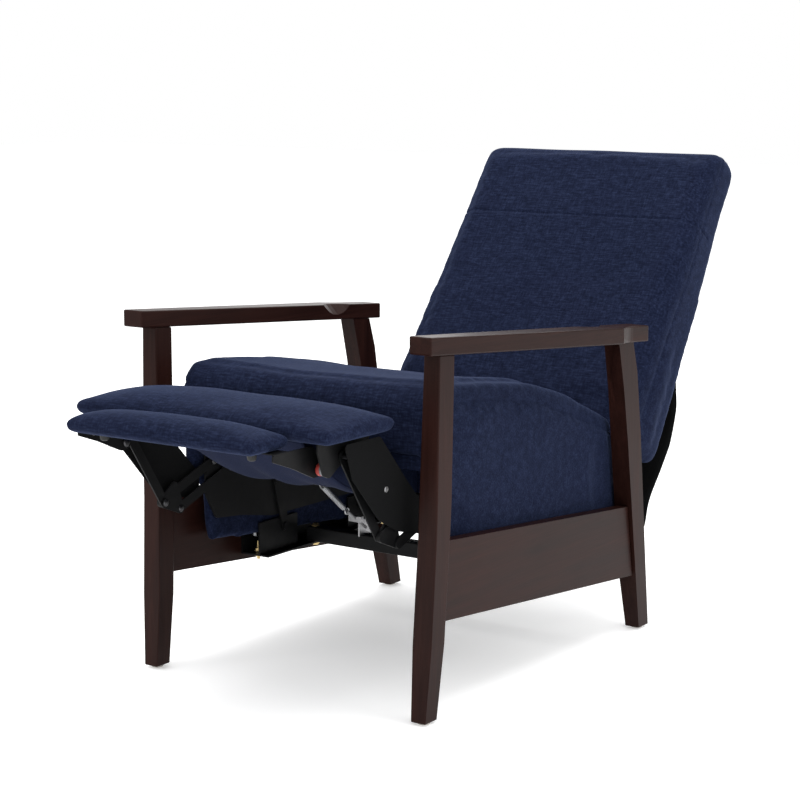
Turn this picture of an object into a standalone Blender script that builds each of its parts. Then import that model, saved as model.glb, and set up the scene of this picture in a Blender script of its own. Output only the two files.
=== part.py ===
"""Push-back recliner armchair: a dark wood frame, an upholstered seat, back and two footrest pads,
and a black steel linkage under the seat.

Metres, +Z up, the sitter faces -Y and the sitter's left is +X. The chair is modelled fully
reclined with both footrest pads out. Side-view points are (y, z), with y counted backwards from
the front ends of the armrests and z from the floor; FRONT moves them into the world frame.
"""
import math

import bmesh
import bpy
from mathutils import Matrix, Vector

# Frame
FRONT = -0.42935           # world Y of the armrests' front ends
GAP = 0.0003               # clearance between touching pieces
ARM_TOP = 0.635            # top of the armrest at its front end
ARM_THICK = 0.0292
ARM_SLOPE = 0.0783         # the armrests fall to the rear
ARM_INNER = 0.2768
ARM_FRONT_OUTER = 0.3185
ARM_WIDEST = (0.3388, 0.579)
ARM_NECK = (0.3211, 0.645)
ARM_LENGTH = 0.7037
LEG_INNER = ((0.0, 0.2704), (0.130, 0.2682), (0.620, 0.2800))     # (height, distance) lines
LEG_OUTER = ((0.0, 0.2985), (0.130, 0.3053), (0.370, 0.3095), (0.620, 0.3095))
GLIDE_X = 0.2845
PANEL_SLOPE = 0.0847       # the side panels and the seat fall to the rear
PANEL_TOP = 0.3028
PANEL_BOTTOM = 0.1704
PANEL_INNER = 0.2780
PANEL_OUTER = 0.3000
GLIDE_HEIGHT = 0.004

# Upholstery
HALF_SEAT = 0.262
WALL_INNER = 0.2410
FRONT_RAIL_TOP = 0.4247    # underside of the seat cushion at y = 0.088
BACK_HALF_TOP = 0.259
BACK_HALF_BOTTOM = 0.2695
FOOTREST_HALF = 0.262
FLIPPER_HALF = 0.190

# Steel: each flat part has its own layer across the chair, so that they pass each other
LAYERS = {
    "shield": (0.2385, 0.2400),
    "mount": (0.2345, 0.2375),
    "lower": (0.2305, 0.2335),
    "knee": (0.2270, 0.2300),
    "lift": (0.2230, 0.2260),
    "pad": (0.2190, 0.2220),
    "flip": (0.1965, 0.1995),
}
PIN = 0.0040
PIN_HOLE = 0.0045
PIN_HEAD = 0.0075
LINK_HALF = 0.0090

# Pivots, all along X
LOWER_PIVOT = (0.1300, 0.3600)
KNEE = (-0.0100, 0.3100)
IDLE_OFFSET = (0.0464, -0.0187)
LIFT_END = (-0.1050, 0.4550)
FLIP_PIVOT = (-0.1350, 0.4370)
BACK_PIVOT = (0.7350, 0.3550)
SWING_FOOT_FRONT = (0.3350, 0.2050)
SWING_FOOT_REAR = (0.5750, 0.2050)
SWING_RISE = (-0.0246, 0.0918)

# Footrest levels
BOARD_BOTTOM = 0.4840
BOARD_TOP = 0.4920
FLIP_BOARD_BOTTOM = 0.4755
FLIP_BOARD_TOP = 0.4825

WOOD = ("wood", (0.045, 0.016, 0.010), 0.35, 0.0)
NAVY = ("navy_fabric", (0.010, 0.018, 0.075), 0.9, 0.0)
STEEL = ("black_steel", (0.012, 0.012, 0.013), 0.45, 0.6)
BRASS = ("brass_plate", (0.62, 0.47, 0.22), 0.3, 1.0)
ZINC = ("zinc", (0.55, 0.56, 0.58), 0.3, 1.0)
BLACK_CLOTH = ("black_cloth", (0.014, 0.014, 0.016), 0.95, 0.0)
BLUE_CLOTH = ("filler_fabric", (0.05, 0.075, 0.19), 0.95, 0.0)
PLY = ("plywood", (0.42, 0.30, 0.17), 0.7, 0.0)
GLIDE = ("glide", (0.55, 0.53, 0.50), 0.4, 0.0)


def plus(a, b):
    """Add two side-view points."""
    return (a[0] + b[0], a[1] + b[1])


SWING_TOP_FRONT = plus(SWING_FOOT_FRONT, SWING_RISE)
SWING_TOP_REAR = plus(SWING_FOOT_REAR, SWING_RISE)
IDLE_PIVOT = plus(LOWER_PIVOT, IDLE_OFFSET)
IDLE_KNEE = plus(KNEE, IDLE_OFFSET)

# Each moving body's pivot, which is where its empty stands
BODY_PIVOTS = {
    "root": (0.0, 0.0),
    "swing_front": SWING_FOOT_FRONT,
    "seat": SWING_TOP_FRONT,
    "swing_rear": SWING_FOOT_REAR,
    "back": BACK_PIVOT,
    "lower_link": LOWER_PIVOT,
    "idle_link": IDLE_PIVOT,
    "knee_plate": KNEE,
    "lift_link": KNEE,
    "footrest": LIFT_END,
    "flipper": FLIP_PIVOT,
}
BODY_PARENTS = {
    "root": None,
    "swing_front": "root",
    "seat": "swing_front",
    "swing_rear": "root",
    "back": "seat",
    "lower_link": "seat",
    "idle_link": "seat",
    "knee_plate": "lower_link",
    "lift_link": "lower_link",
    "footrest": "lift_link",
    "flipper": "footrest",
}

bodies = {}
collections = {}


# ---------------------------------------------------------------- scene helpers

def clear_scene():
    for item in list(bpy.data.objects):
        bpy.data.objects.remove(item, do_unlink=True)
    for name in ("recliner_armchair", "cutters"):
        collections[name] = bpy.data.collections.new(name)
        bpy.context.scene.collection.children.link(collections[name])


def get_material(spec):
    name, colour, roughness, metallic = spec
    found = bpy.data.materials.get(name)
    if found:
        return found
    made = bpy.data.materials.new(name)
    made.use_nodes = True
    shader = made.node_tree.nodes["Principled BSDF"]
    shader.inputs["Base Color"].default_value = (*colour, 1.0)
    shader.inputs["Roughness"].default_value = roughness
    shader.inputs["Metallic"].default_value = metallic
    return made


def world(x, point):
    """World position of a side-view point at a distance x from the centre plane."""
    return Vector((x, point[0] + FRONT, point[1]))


def make_bodies():
    for name in BODY_PIVOTS:
        empty = bpy.data.objects.new("body_" + name, None)
        empty.empty_display_size = 0.03
        collections["recliner_armchair"].objects.link(empty)
        bodies[name] = empty
    for name, parent in BODY_PARENTS.items():
        here = world(0.0, BODY_PIVOTS[name])
        if parent is None:
            bodies[name].location = here
        else:
            bodies[name].parent = bodies[parent]
            bodies[name].location = here - world(0.0, BODY_PIVOTS[parent])


def add_piece(name, mesh, body, spec, matrix, group="recliner_armchair"):
    """Put a mesh into the scene as one named piece of a body; matrix is its world placement."""
    piece = bpy.data.objects.new(name, mesh)
    collections[group].objects.link(piece)
    mesh.materials.append(get_material(spec))
    pivot = world(0.0, BODY_PIVOTS[body])
    piece.parent = bodies[body]
    piece.matrix_basis = Matrix.Translation(-pivot) @ matrix
    mesh.shade_smooth()
    mesh.set_sharp_from_angle(angle=math.radians(35))
    return piece


def hide_cutter(cutter):
    cutter.hide_render = True
    cutter.display_type = "WIRE"


def combine(piece, other, operation):
    """Join or cut a piece with a helper solid that stays hidden."""
    hide_cutter(other)
    step = piece.modifiers.new(operation.lower(), "BOOLEAN")
    step.operation = operation
    step.object = other
    step.solver = "EXACT"


def bevel(piece, width, segments=2, angle=35):
    step = piece.modifiers.new("bevel", "BEVEL")
    step.width = width
    step.segments = segments
    step.limit_method = "ANGLE"
    step.angle_limit = math.radians(angle)


# ---------------------------------------------------------------- outlines

def rounded(corners, steps=4):
    """Outline through (a, b, radius) corners, given anticlockwise, with round corners."""
    points = []
    count = len(corners)
    for i, (a, b, radius) in enumerate(corners):
        here = Vector((a, b))
        before = (Vector(corners[i - 1][:2]) - here).normalized()
        after = (Vector(corners[(i + 1) % count][:2]) - here).normalized()
        if radius == 0:
            points.append((a, b))
            continue
        half = before.angle(after) / 2
        reach = radius / math.tan(half)
        middle = here + (before + after).normalized() * (radius / math.sin(half))
        start = here + before * reach - middle
        turn = start.angle_signed(here + after * reach - middle)
        for k in range(steps + 1):
            spoke = start.copy()
            spoke.rotate(Matrix.Rotation(-turn * k / steps, 2))
            points.append(tuple(middle + spoke))
    return points


def hull(points, radius, steps=6):
    """Outline of a plate that wraps round the given points, which run anticlockwise."""
    outline = []
    count = len(points)
    for i, (a, b) in enumerate(points):
        before = Vector((a - points[i - 1][0], b - points[i - 1][1]))
        after = Vector((points[(i + 1) % count][0] - a, points[(i + 1) % count][1] - b))
        start = math.atan2(-before.x, before.y)
        end = math.atan2(-after.x, after.y)
        while end < start:
            end += 2 * math.pi
        for k in range(steps + 1):
            angle = start + (end - start) * k / steps
            outline.append((a + radius * math.cos(angle), b + radius * math.sin(angle)))
    return outline


def circle(centre, radius, count=16):
    steps = [2 * math.pi * k / count for k in range(count)]
    return [(centre[0] + radius * math.cos(s), centre[1] + radius * math.sin(s)) for s in steps]


def flat_mesh(name, outlines, thickness):
    """Mesh of a flat plate: the first outline is its edge, and the others are holes."""
    curve = bpy.data.curves.new(name, "CURVE")
    curve.dimensions = "2D"
    curve.fill_mode = "BOTH"
    curve.extrude = thickness / 2
    for outline in outlines:
        spline = curve.splines.new("POLY")
        spline.points.add(len(outline) - 1)
        for point, (a, b) in zip(spline.points, outline):
            point.co = (a, b, 0, 1)
        spline.use_cyclic_u = True
    shape = bpy.data.objects.new(name, curve)
    bpy.context.scene.collection.objects.link(shape)
    graph = bpy.context.evaluated_depsgraph_get()
    mesh = bpy.data.meshes.new_from_object(shape.evaluated_get(graph))
    bpy.data.objects.remove(shape, do_unlink=True)
    bpy.data.curves.remove(curve)
    clean(mesh)
    mesh.name = name
    return mesh


def clean(mesh):
    """Weld loose caps and turn every face outwards."""
    work = bmesh.new()
    work.from_mesh(mesh)
    bmesh.ops.remove_doubles(work, verts=work.verts, dist=0.00001)
    bmesh.ops.recalc_face_normals(work, faces=work.faces)
    work.to_mesh(mesh)
    work.free()


# A plate's outline is drawn in its own XY plane; this turns it upright, its thickness along X
UPRIGHT = Matrix(((0, 0, 1, 0), (1, 0, 0, 0), (0, 1, 0, 0), (0, 0, 0, 1)))


def side_plate(name, outline, x_low, x_high, body, spec, holes=(), group="recliner_armchair"):
    """A flat piece seen from the side, between two distances from the centre plane."""
    pivot = BODY_PIVOTS[body]

    def near_pivot(points):
        return [(a - pivot[0], b - pivot[1]) for a, b in points]

    outlines = [near_pivot(outline)] + [near_pivot(circle(h, PIN_HOLE)) for h in holes]
    mesh = flat_mesh(name, outlines, abs(x_high - x_low))
    place = Matrix.Translation(world((x_low + x_high) / 2, pivot)) @ UPRIGHT
    return add_piece(name, mesh, body, spec, place, group)


def cylinder(name, centre, radius, length, axis, body, spec, segments=16,
             group="recliner_armchair"):
    """A round bar along X, Y or Z about a world position."""
    work = bmesh.new()
    bmesh.ops.create_cone(work, cap_ends=True, segments=segments, radius1=radius, radius2=radius,
                          depth=length)
    mesh = bpy.data.meshes.new(name)
    work.to_mesh(mesh)
    work.free()
    turn = Vector((0, 0, 1)).rotation_difference(Vector(axis)).to_matrix().to_4x4()
    return add_piece(name, mesh, body, spec, Matrix.Translation(centre) @ turn, group)


def box(name, low, high, body, spec, group="recliner_armchair"):
    """A box between two corners given as (x, y, z), with y counted from the armrests' front."""
    size = [h - l for l, h in zip(low, high)]
    middle = [(h + l) / 2 for l, h in zip(low, high)]
    work = bmesh.new()
    bmesh.ops.create_cube(work, size=1.0)
    bmesh.ops.scale(work, vec=size, verts=work.verts)
    mesh = bpy.data.meshes.new(name)
    work.to_mesh(mesh)
    work.free()
    place = Matrix.Translation((middle[0], middle[1] + FRONT, middle[2]))
    return add_piece(name, mesh, body, spec, place, group)


def sheet(name, path, half_width, thickness, body, spec):
    """A thin cloth that follows a side-view path, of the same width all along."""
    pivot = BODY_PIVOTS[body]
    work = bmesh.new()
    rows = []
    for a, b in path:
        rows.append([work.verts.new((side * half_width, a - pivot[0], b - pivot[1]))
                     for side in (-1, 1)])
    for first, second in zip(rows, rows[1:]):
        work.faces.new((first[0], first[1], second[1], second[0]))
    mesh = bpy.data.meshes.new(name)
    work.to_mesh(mesh)
    work.free()
    piece = add_piece(name, mesh, body, spec, Matrix.Translation(world(0.0, pivot)))
    step = piece.modifiers.new("cloth", "SOLIDIFY")
    step.thickness = thickness
    step.offset = 0
    return piece


def smooth_path(points, per_span=4):
    """Points along a smooth curve through the given ones."""
    path = []
    last = len(points) - 1
    for i in range(last):
        p0 = Vector(points[max(i - 1, 0)])
        p1 = Vector(points[i])
        p2 = Vector(points[i + 1])
        p3 = Vector(points[min(i + 2, last)])
        for k in range(per_span):
            t = k / per_span
            path.append(tuple(0.5 * ((2 * p1) + (p2 - p0) * t
                                     + (2 * p0 - 5 * p1 + 4 * p2 - p3) * t ** 2
                                     + (3 * p1 - p0 - 3 * p2 + p3) * t ** 3)))
    path.append(tuple(points[last]))
    return path


def wire(name, points, radius, body, spec):
    """A bent wire through world points, made a mesh with its caps welded."""
    curve = bpy.data.curves.new(name, "CURVE")
    curve.dimensions = "3D"
    curve.bevel_depth = radius
    curve.bevel_resolution = 1
    curve.use_fill_caps = True
    spline = curve.splines.new("POLY")
    spline.points.add(len(points) - 1)
    for point, position in zip(spline.points, points):
        point.co = (*position, 1)
    shape = bpy.data.objects.new(name, curve)
    bpy.context.scene.collection.objects.link(shape)
    graph = bpy.context.evaluated_depsgraph_get()
    mesh = bpy.data.meshes.new_from_object(shape.evaluated_get(graph))
    bpy.data.objects.remove(shape, do_unlink=True)
    bpy.data.curves.remove(curve)
    clean(mesh)
    return add_piece(name, mesh, body, spec, Matrix.Identity(4))


def add_pin(piece, point, side, x_low, x_high, body, spec, radius=PIN):
    """Join a round pin or rivet head, between two distances from the centre plane, to a piece."""
    middle = world(side * (x_low + x_high) / 2, point)
    name = piece.name + "_pin_" + str(len(piece.modifiers))
    stud = cylinder(name, middle, radius, x_high - x_low, (1, 0, 0), body, spec, group="cutters")
    combine(piece, stud, "UNION")


# ---------------------------------------------------------------- wooden frame

def arm_z(y):
    return ARM_TOP - ARM_SLOPE * y


def make_arm(label, side):
    """A sloping armrest whose outer edge swells and then necks in at the rear, with a thumb
    scoop in its inner top edge."""
    outline = [(ARM_INNER, 0.0), (ARM_FRONT_OUTER, 0.0), ARM_WIDEST]
    for k in range(1, 6):
        t = k / 6
        ease = math.sin(t * math.pi / 2)
        outline.append((ARM_WIDEST[0] + (ARM_NECK[0] - ARM_WIDEST[0]) * ease,
                        ARM_WIDEST[1] + (ARM_NECK[1] - ARM_WIDEST[1]) * t))
    outline += [ARM_NECK, (ARM_NECK[0], ARM_LENGTH), (ARM_INNER, ARM_LENGTH)]
    outline = [(side * x, y) for x, y in outline]
    mesh = flat_mesh("armrest_" + label, [outline], ARM_THICK)
    shear = Matrix.Identity(4)
    shear[2][1] = -ARM_SLOPE
    mesh.transform(shear)
    place = Matrix.Translation(world(0.0, (0.0, ARM_TOP - ARM_THICK / 2)))
    arm = add_piece("armrest_" + label, mesh, "root", WOOD, place)
    bevel(arm, 0.0025)
    scoop_centre = world(side * (ARM_INNER - 0.030), (0.563, arm_z(0.563) + 0.052))
    scoop = cylinder("scoop_" + label, scoop_centre, 0.072, 0.090, (side, 0, 1), "root", WOOD,
                     segments=32, group="cutters")
    combine(arm, scoop, "DIFFERENCE")


def on_line(line, height):
    """Distance from the centre plane, at a height, of a line of (height, distance) points."""
    for (low, first), (high, second) in zip(line, line[1:]):
        if height <= high:
            return first + (second - first) * (height - low) / (high - low)
    return line[-1][1]


def leg_piece(name, side, front_edge, rear_edge):
    """A leg from its side-view front and rear edges, listed from the foot up. Seen from the front
    it follows the two leg lines: it leans in below the armrest and narrows to the foot."""
    outline = front_edge + rear_edge[::-1]
    leg = side_plate(name, outline, side * LEG_INNER[-1][1], side * LEG_OUTER[-1][1], "root", WOOD)
    middle = (LEG_INNER[-1][1] + LEG_OUTER[-1][1]) / 2
    work = bmesh.new()
    work.from_mesh(leg.data)
    for height in (0.130, 0.370):
        bmesh.ops.bisect_plane(work, geom=work.verts[:] + work.edges[:] + work.faces[:],
                               plane_co=(0, height, 0), plane_no=(0, 1, 0), dist=0.00001)
    for vertex in work.verts:
        line = LEG_OUTER if side * vertex.co.z > 0 else LEG_INNER
        vertex.co.z = side * (on_line(line, vertex.co.y) - middle)
    work.to_mesh(leg.data)
    work.free()
    bevel(leg, 0.0020)
    return leg


def make_legs(label, side):
    arm_under = ARM_TOP - ARM_THICK - GAP
    top_front = arm_under - ARM_SLOPE * 0.038
    top_rear = arm_under - ARM_SLOPE * 0.080
    leg_piece("front_leg_" + label, side,
              [(0.0150, GLIDE_HEIGHT), (0.0225, 0.130), (0.0310, 0.300), (0.0380, top_front)],
              [(0.0495, GLIDE_HEIGHT), (0.0615, 0.130), (0.0720, 0.300), (0.0800, top_rear)])
    leg_piece("rear_leg_" + label, side,
              [(0.7280, GLIDE_HEIGHT), (0.6980, 0.128), (0.6360, 0.470),
               (0.6150, arm_under - ARM_SLOPE * 0.615)],
              [(0.7640, GLIDE_HEIGHT), (0.7375, 0.129), (0.6850, 0.496),
               (0.6680, arm_under - ARM_SLOPE * 0.668)])
    for name, y in (("front", 0.0322), ("rear", 0.7460)):
        middle = world(side * GLIDE_X, (y, (GLIDE_HEIGHT - GAP) / 2))
        foot = cylinder("glide_" + name + "_" + label, middle, 0.0105, GLIDE_HEIGHT - GAP,
                        (0, 0, 1), "root", GLIDE, segments=20)
        bevel(foot, 0.0008)


def make_side_panel(label, side):
    """A board between the legs. It falls to the rear, like the seat."""
    def top(y):
        return PANEL_TOP - PANEL_SLOPE * y

    def bottom(y):
        return PANEL_BOTTOM - PANEL_SLOPE * y

    outline = [(0.0650, bottom(0.0650)), (0.6970, bottom(0.6970)),
               (0.6750, top(0.6750)), (0.0730, top(0.0730))]
    panel = side_plate("side_panel_" + label, outline, side * PANEL_INNER, side * PANEL_OUTER,
                       "root", WOOD)
    bevel(panel, 0.0012)


# ---------------------------------------------------------------- steel base

RAIL_Y = (0.262, 0.660)
RAIL_Z = (0.160, 0.205)
RAIL_THICK = 0.003
TUBE_SIZE = 0.028
TUBE_HALF = 0.2335
BOLT_HOLE = 0.0036


def make_base_rail(label, side):
    """A steel channel bolted inside the side panel, with an upstand that carries the swings."""
    outer = PANEL_INNER - GAP
    low, high = RAIL_Z
    inner = LAYERS["mount"][0]
    thick = RAIL_THICK
    profile = [(0.2150, low), (outer, low), (outer, high), (outer - thick, high),
               (outer - thick, low + thick), (inner + thick, low + thick),
               (inner + thick, 0.222), (inner, 0.222), (inner, low + thick), (0.2150, low + thick)]
    profile = [(side * x, z) for x, z in profile]
    length = RAIL_Y[1] - RAIL_Y[0]
    mesh = flat_mesh("base_rail_" + label, [profile], length)
    turn = Matrix(((1, 0, 0, 0), (0, 0, -1, 0), (0, 1, 0, 0), (0, 0, 0, 1)))
    middle = (RAIL_Y[0] + RAIL_Y[1]) / 2
    rail = add_piece("base_rail_" + label, mesh, "root", STEEL,
                     Matrix.Translation(world(0.0, (middle, 0.0))) @ turn)
    for name, foot in (("front", SWING_FOOT_FRONT), ("rear", SWING_FOOT_REAR)):
        hole = cylinder("rail_hole_" + name + label, world(side * (inner + thick / 2), foot),
                        PIN_HOLE, 0.010, (1, 0, 0), "root", STEEL, group="cutters")
        combine(rail, hole, "DIFFERENCE")
    cut_low = box("rail_notch_" + label, (side * 0.2360 - 0.004, 0.375, 0.1635),
                  (side * 0.2360 + 0.004, 0.535, 0.240), "root", STEEL, group="cutters")
    combine(rail, cut_low, "DIFFERENCE")
    bolt_at = world(side * 0.2560, (0.285, low + thick / 2))
    hole = cylinder("bolt_hole_" + label, bolt_at, BOLT_HOLE, 0.010, (0, 0, 1), "root", STEEL,
                    group="cutters")
    combine(rail, hole, "DIFFERENCE")
    make_rail_bolt(label, bolt_at, thick)


def make_rail_bolt(label, centre, thick):
    """A hex bolt through the channel's floor, with its nut below."""
    name = "rail_bolt_" + label
    bolt = cylinder(name, centre + Vector((0, 0, 0.004)), BOLT_HOLE - 0.0004, 0.034, (0, 0, 1),
                    "root", BRASS, segments=12)
    head = cylinder(name + "_head", centre + Vector((0, 0, thick / 2 + GAP + 0.003)), 0.0075,
                    0.006, (0, 0, 1), "root", BRASS, segments=6, group="cutters")
    nut = cylinder(name + "_nut", centre - Vector((0, 0, thick / 2 + GAP + 0.003)), 0.0075,
                   0.006, (0, 0, 1), "root", BRASS, segments=6, group="cutters")
    combine(bolt, head, "UNION")
    combine(bolt, nut, "UNION")


def make_cross_tube(name, y):
    low = RAIL_Z[0] + RAIL_THICK + GAP
    tube = box(name, (-TUBE_HALF, y, low), (TUBE_HALF, y + TUBE_SIZE, low + TUBE_SIZE), "root",
               STEEL)
    bevel(tube, 0.002)


EYE_HIGH = (0.3480, 0.2460)
BAR = (0.2620, 0.3150)
BAR_RADIUS = 0.0060
SPRING_X = 0.100
COIL_RADIUS = 0.0055


def along(start, end, distance):
    """The side-view point at a distance from start towards end."""
    step = Vector(end) - Vector(start)
    return tuple(Vector(start) + step.normalized() * distance)


def rod(name, start, end, x, radius, body, spec, segments=12, group="recliner_armchair"):
    """A straight round rod between two side-view points."""
    first = world(x, start)
    second = world(x, end)
    return cylinder(name, (first + second) / 2, radius, (second - first).length, second - first,
                    body, spec, segments, group)


def make_eyebolt(label, side):
    """The adjuster on the front cross tube: a lug, a threaded rod and a wing nut."""
    x = side * SPRING_X
    name = "spring_adjuster_" + label
    tube_top = RAIL_Z[0] + RAIL_THICK + GAP + TUBE_SIZE
    lug = box(name, (x - 0.0015, 0.385, tube_top + GAP), (x + 0.0015, 0.425, tube_top + 0.030),
              "root", ZINC)
    rod_piece = rod(name + "_rod", (0.4060, 0.2049), EYE_HIGH, x, 0.0030, "root", ZINC,
                    group="cutters")
    combine(lug, rod_piece, "UNION")
    wing = box(name + "_wing", (x - 0.014, 0.372, 0.2215), (x + 0.014, 0.380, 0.2320), "root",
               ZINC, group="cutters")
    combine(lug, wing, "UNION")


# ---------------------------------------------------------------- seat

def seat_z(y, level):
    """Height of a plane that falls to the rear with the seat, level being its height in front."""
    return level - PANEL_SLOPE * (y - 0.088)


def make_seat_cushion():
    under = FRONT_RAIL_TOP
    outline = rounded([
        (0.0880, seat_z(0.0880, under), 0), (0.6750, seat_z(0.6750, under), 0),
        (0.6720, 0.4020, 0.012), (0.6080, 0.4300, 0.05), (0.5280, 0.4600, 0.10),
        (0.4100, 0.4935, 0.15), (0.2700, 0.5160, 0.20), (0.1100, 0.5310, 0.024),
        (0.0840, 0.5040, 0.024)])
    seat = side_plate("seat_cushion", outline, -HALF_SEAT, HALF_SEAT, "seat", NAVY)
    bevel(seat, 0.006, 2, 60)


def make_seat_wall(label, side):
    """An upholstered board down each side of the seat, running back under the backrest."""
    top = FRONT_RAIL_TOP - 0.0010
    outline = [(0.0900, 0.3580), (0.1300, 0.3100), (0.1380, 0.2140), (0.8000, 0.1580),
               (0.8000, 0.2650), (0.7000, 0.2900), (0.6740, seat_z(0.6740, top)),
               (0.0900, seat_z(0.0900, top))]
    wall = side_plate("seat_wall_" + label, outline, side * WALL_INNER, side * HALF_SEAT, "seat",
                      NAVY)
    bevel(wall, 0.003)


def make_seat_frame():
    """The wooden ring under the cushion, with the springs across it."""
    half = WALL_INNER - GAP
    outer = [(-half, 0.095), (half, 0.095), (half, 0.668), (-half, 0.668)]
    inner = [(-0.200, 0.135), (0.200, 0.135), (0.200, 0.628), (-0.200, 0.628)]
    mesh = flat_mesh("seat_frame", [outer, inner], 0.024)
    shear = Matrix.Identity(4)
    shear[2][1] = -PANEL_SLOPE
    mesh.transform(shear)
    level = FRONT_RAIL_TOP - GAP - 0.012 + PANEL_SLOPE * 0.088
    add_piece("seat_frame", mesh, "seat", PLY, Matrix.Translation(world(0.0, (0.0, level))))
    make_seat_spring()


def make_seat_spring():
    """One long zigzag wire across the ring: five runs from front to rear, joined at the ends."""
    runs = 5
    bends = 12
    front, rear = 0.1385, 0.6245
    points = []
    for run in range(runs):
        centre = -0.160 + 0.080 * run
        order = range(bends + 1) if run % 2 == 0 else range(bends, -1, -1)
        for k in order:
            y = front + (rear - front) * k / bends
            x = centre + (0.020 if k % 2 else -0.020)
            points.append(world(x, (y, seat_z(y, FRONT_RAIL_TOP - 0.012))))
    wire("seat_spring", points, 0.0018, "seat", STEEL)


def make_rear_rail():
    half = WALL_INNER - GAP
    rail = box("seat_rear_rail", (-half, 0.7800, 0.1640), (half, 0.8000, 0.2600), "seat", PLY)
    bevel(rail, 0.002)


def make_mounting_plate(label, side):
    """The steel side plate that the back, the swings and the footrest links hang on."""
    low, high = LAYERS["mount"]
    outline = rounded([
        (0.1120, 0.3000, 0.010), (0.1400, 0.2540, 0.010), (0.2100, 0.2470, 0.030),
        (0.3000, 0.2300, 0.030), (0.7000, 0.2300, 0.010),
        (0.7520, 0.3000, 0.010), (0.7530, 0.3720, 0.014), (0.7100, 0.3720, 0.010),
        (0.6500, 0.3420, 0.010), (0.1120, 0.3860, 0.010)])
    holes = (LOWER_PIVOT, IDLE_PIVOT, BACK_PIVOT, SWING_TOP_FRONT, SWING_TOP_REAR)
    side_plate("mounting_plate_" + label, outline, side * low, side * high, "seat", STEEL, holes)


def make_cross_bar():
    half = LAYERS["mount"][0] - GAP
    rod_piece = cylinder("seat_cross_bar", world(0.0, BAR), BAR_RADIUS, 2 * half, (1, 0, 0),
                         "seat", STEEL, segments=16)
    bevel(rod_piece, 0.001)


def make_tension_spring(label, side):
    """A coil spring between the seat's cross bar and the adjuster, as its outer tube."""
    start = along(BAR, EYE_HIGH, BAR_RADIUS + 0.002)
    end = along(EYE_HIGH, BAR, 0.002)
    rod("tension_spring_" + label, start, end, side * SPRING_X, COIL_RADIUS, "seat", ZINC)


def make_filler_cloth():
    path = smooth_path([(-0.1600, 0.4820), (-0.1300, 0.4560), (-0.0700, 0.4100), (-0.0100, 0.3780),
                        (0.0450, 0.3690), (0.0780, 0.3810), (0.1000, 0.3965)])
    sheet("filler_cloth", path, 0.190, 0.002, "seat", BLUE_CLOTH)


# ---------------------------------------------------------------- back

def make_back_cushion():
    """A wedge, thicker at the lumbar, whose sides draw in a little towards the top."""
    outline = rounded([
        (0.7000, 0.3520, 0.012), (0.8220, 0.3000, 0.020), (1.1500, 0.8310, 0.018),
        (1.0920, 0.8740, 0.026)], 4)
    back = side_plate("back_cushion", outline, -1.0, 1.0, "back", NAVY)
    work = bmesh.new()
    work.from_mesh(back.data)
    bmesh.ops.bisect_plane(work, geom=work.verts[:] + work.edges[:] + work.faces[:],
                           plane_co=(0, 0.5 - BACK_PIVOT[1], 0), plane_no=(0, 1, 0), dist=0.00001)
    for vertex in work.verts:
        height = vertex.co.y + BACK_PIVOT[1]
        share = min(1.0, max(0.0, (height - 0.30) / (0.87 - 0.30)))
        half = BACK_HALF_BOTTOM + (BACK_HALF_TOP - BACK_HALF_BOTTOM) * share
        vertex.co.z = math.copysign(half, vertex.co.z)
    work.to_mesh(back.data)
    work.free()
    bevel(back, 0.008, 2, 60)
    for label, side in (("left", 1), ("right", -1)):
        slot = box("back_slot_" + label, (side * 0.2340 - 0.0060, 0.600, 0.200),
                   (side * 0.2340 + 0.0060, 0.800, 0.408), "back", NAVY, group="cutters")
        combine(back, slot, "DIFFERENCE")


def make_back_bracket(label, side):
    """The hinge plate let into a slot in the bottom of the back."""
    low, high = LAYERS["lower"]
    outline = hull([BACK_PIVOT, (0.7850, 0.3550), (0.7850, 0.3850), (0.7500, 0.3850)], 0.0110)
    piece = side_plate("back_bracket_" + label, outline, side * low, side * high, "back", STEEL)
    add_pin(piece, BACK_PIVOT, side, high - 0.0005, LAYERS["mount"][1], "back", STEEL)


def make_rear_cloth():
    path = smooth_path([(0.9310, 0.4700), (0.9470, 0.4200), (0.9400, 0.3760), (0.9160, 0.3330),
                        (0.8780, 0.2850), (0.8400, 0.2450), (0.8220, 0.2050), (0.8060, 0.1720)])
    sheet("rear_cloth", path, 0.258, 0.002, "back", BLACK_CLOTH)


# ---------------------------------------------------------------- linkage

def make_swing(name, foot, top, label, side, body):
    """A swing link between the base and the seat; the lower pin is its own."""
    low, high = LAYERS["lower"]
    outline = hull([foot, top], 0.0100)
    piece = side_plate(name + "_" + label, outline, side * low, side * high, body, STEEL)
    mount_high = LAYERS["mount"][1]
    add_pin(piece, foot, side, high - 0.0005, mount_high, body, STEEL)
    add_pin(piece, top, side, high - 0.0005, mount_high, body, STEEL)
    for point in (foot, top):
        add_pin(piece, point, side, low - 0.0020, low + 0.0005, body, STEEL, PIN_HEAD)


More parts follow.
